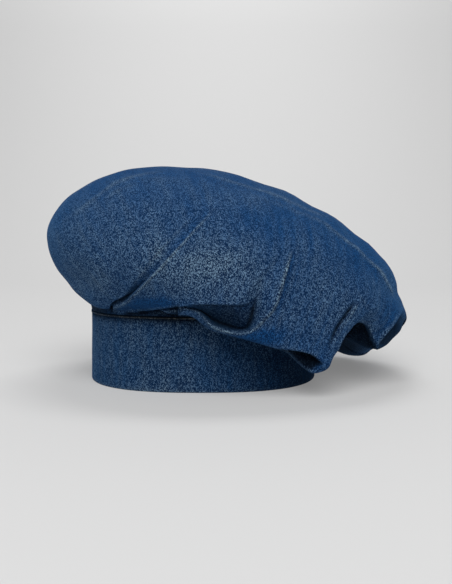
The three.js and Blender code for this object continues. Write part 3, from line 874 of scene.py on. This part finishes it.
def crown_surfaces():
    """The folded cloth on a grid of places by columns: the smooth form, lifted along its normal
    and set back along Y. The inner face keeps every third row and column, and lies one wall
    inside the lowest outer place near it. The flat place has the length up the cloth from the
    top as radius, at the same azimuth."""
    place = np.concatenate([
        np.linspace(0, 0.2, 15)[:-1], np.linspace(0.2, 0.64, 85)[:-1],
        np.linspace(0.64, 0.82, 13)[:-1], np.linspace(0.82, 1.0, 14),
    ])
    azimuth = column_azimuths(place)
    up = np.broadcast_to(place[:, None], azimuth.shape)
    form = on_form(azimuth, up)
    low, high = np.clip(up - 0.004, 0, 1), np.clip(up + 0.004, 0, 0.999)
    short_of_top = np.minimum(up, 0.995)
    along = on_form(azimuth + 0.5, short_of_top) - on_form(azimuth - 0.5, short_of_top)
    normal = np.cross(along, on_form(azimuth, high) - on_form(azimuth, low))
    normal /= np.linalg.norm(normal, axis=-1, keepdims=True) + 1e-12
    height, recess, raised, worn, painted_shading = crown_lift(azimuth, up, form + np.array([*band_middle[:2], 0]))
    held = (ease(0.0, 0.06, place) * (1 - ease(0.95, 0.99, place)))[:, None]
    height = height * held
    recess = recess * held
    back = np.array([0, 1, 0])
    form = form + np.array([0, 0, 1]) * (raised * held)[..., None]
    points = form + normal * height[..., None] + back * recess[..., None]
    inner = form + normal * (extreme_near(height, np.minimum) - crown_wall)[..., None]
    inner = inner + back * extreme_near(recess, np.maximum)[..., None]
    length = np.linalg.norm(np.diff(form, axis=0), axis=-1)[::-1].cumsum(0)[::-1]
    radius = np.concatenate([length, np.zeros((1, length.shape[1]))])
    bearing = np.radians(azimuth)
    flat = np.stack([radius * np.cos(bearing), radius * np.sin(bearing)], -1)
    points[..., :2] += band_middle[:2]
    inner[..., :2] += band_middle[:2]
    return points, inner[::inner_step, ::inner_step], flat, worn, painted_shading


def shell_mesh(name, outer, inner):
    """A closed cap: quads over the outer grid and, turned inwards, over the inner one, each closed
    by triangles to one point at the top, and a strip of six-cornered faces that joins their
    lowest rows."""
    rows, columns = outer.shape[:2]
    inner_rows, inner_columns = inner.shape[:2]
    outer_top = (rows - 1) * columns
    inner_top = outer_top + 1 + (inner_rows - 1) * inner_columns
    outer_spot = np.arange(outer_top).reshape(rows - 1, columns)
    outer_spot = np.concatenate([outer_spot, outer_spot[:, :1]], 1)
    inner_spot = np.arange(outer_top + 1, inner_top).reshape(inner_rows - 1, inner_columns)
    inner_spot = np.concatenate([inner_spot, inner_spot[:, :1]], 1)
    out_quads = [outer_spot[:-1, :-1], outer_spot[:-1, 1:], outer_spot[1:, 1:], outer_spot[1:, :-1]]
    in_quads = [inner_spot[:-1, :-1], inner_spot[1:, :-1], inner_spot[1:, 1:], inner_spot[:-1, 1:]]
    out_cap = [outer_spot[-1, :-1], outer_spot[-1, 1:], np.full(columns, outer_top)]
    in_cap = [inner_spot[-1, 1:], inner_spot[-1, :-1], np.full(inner_columns, inner_top)]
    edge = outer_spot[0]
    strip = [edge[3::3], edge[2::3], edge[1::3], edge[:-1:3], inner_spot[0, :-1], inner_spot[0, 1:]]
    faces = []
    for corners in (out_quads, in_quads, out_cap, in_cap, strip):
        faces += np.stack(corners, -1).reshape(-1, len(corners)).tolist()
    points = np.concatenate([
        outer[:-1].reshape(-1, 3), outer[-1].mean(0)[None],
        inner[:-1].reshape(-1, 3), inner[-1].mean(0)[None],
    ])
    return mesh_piece(name, points, faces)


def shell_values(outer, inner_fill=None):
    """A field on the outer grid, followed by the same field on the inner one, or by one number
    for the whole inner face, in the order of the shell's points."""
    inner = outer[::inner_step, ::inner_step]
    if inner_fill is not None:
        inner = np.full_like(inner, inner_fill)
    parts = [outer[:-1], outer[-1:, :1], inner[:-1], inner[-1:, :1]]
    return np.concatenate([part.reshape(-1, *outer.shape[2:]) for part in parts])


crown_points, crown_inner, crown_flat, crown_worn, crown_painted_shading = crown_surfaces()
crown_cloth = shell_mesh("crown_cloth", crown_points, crown_inner)
cloth_map(crown_cloth, shell_values(crown_flat))
point_value(crown_cloth, "wear", shell_values(crown_worn, inner_fill=0.0))
# Painted shade: the inner face is painted a little darker all over, as it lies in shade.
point_value(crown_cloth, "painted_shade", shell_values(crown_painted_shading, inner_fill=0.3))
crown_cloth.data.materials.append(denim(
    "crown_denim", warp=(0.0008, 0.0075, 0.0315), weft=(0.162, 0.256, 0.345), dye=(0.0085, 0.058, 0.176),
))
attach(crown_cloth, "root")
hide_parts("crown")

# Floor: a grey sheet that runs back and sweeps up behind the hat. It glows faintly with painted light of
# its own, so that the shadow on it stays pale.
def paper_sweep():
    """A strip along X: flat up to the bend, a quarter circle, then straight up."""
    front_edge = -3.0
    bend_start = 1.2
    radius = 1.2
    top_edge = 4.0
    half_width = 5
    bend = np.linspace(0, np.pi / 2, 24)
    run = np.concatenate([[front_edge], bend_start + radius * np.sin(bend), [bend_start + radius]])
    rise = np.concatenate([[0.0], radius * (1 - np.cos(bend)), [top_edge]])
    side = np.linspace(-half_width, half_width, 3)
    grid = np.broadcast_arrays(side[None], run[:, None], rise[:, None])
    return np.stack(grid, -1)


paper = loop_mesh("paper_sweep", paper_sweep(), False, False)
paper_material = bpy.data.materials.new("pale_paper")
paper_material.use_nodes = True
paper_shader = paper_material.node_tree.nodes["Principled BSDF"]
paper_shader.inputs["Base Color"].default_value = (0.43, 0.43, 0.43, 1)
# Painted light: the paper glows though it is no lamp.
paper_shader.inputs["Emission Color"].default_value = (1, 1, 1, 1)
paper_shader.inputs["Emission Strength"].default_value = 0.19
paper_shader.inputs["Roughness"].default_value = 1.0
paper_shader.inputs["Specular IOR Level"].default_value = 0.0
paper.data.materials.append(paper_material)

# Studio light: an even pale surround, one large soft box high in front of the hat, and one above
# and behind it that lights the paper.
surround = bpy.data.worlds.new("studio_surround")
surround.use_nodes = True
surround.node_tree.nodes["Background"].inputs["Color"].default_value = (1, 1, 1, 1)
surround.node_tree.nodes["Background"].inputs["Strength"].default_value = 0.22
scene.world = surround


def soft_box(name, place, target, size, power):
    """An area light at a place, turned so that its face points at the target."""
    data = bpy.data.lights.new(name, "AREA")
    data.shape = "DISK"
    data.size = size
    data.energy = power
    lamp = bpy.data.objects.new(name, data)
    lamp.location = place
    aim = np.array(target) - np.array(place)
    flat_run = np.hypot(aim[0], aim[1])
    lamp.rotation_euler = (np.arctan2(flat_run, -aim[2]), 0, np.arctan2(aim[1], aim[0]) - np.pi / 2)
    scene.collection.objects.link(lamp)


soft_box("key_soft_box", place=(-0.05, -1.25, 1.3), target=(0, 0, 0.08), size=1.5, power=29.5)
soft_box("backdrop_soft_box", place=(0, 0.9, 2.6), target=(0, 2.4, 0.9), size=1.5, power=50)
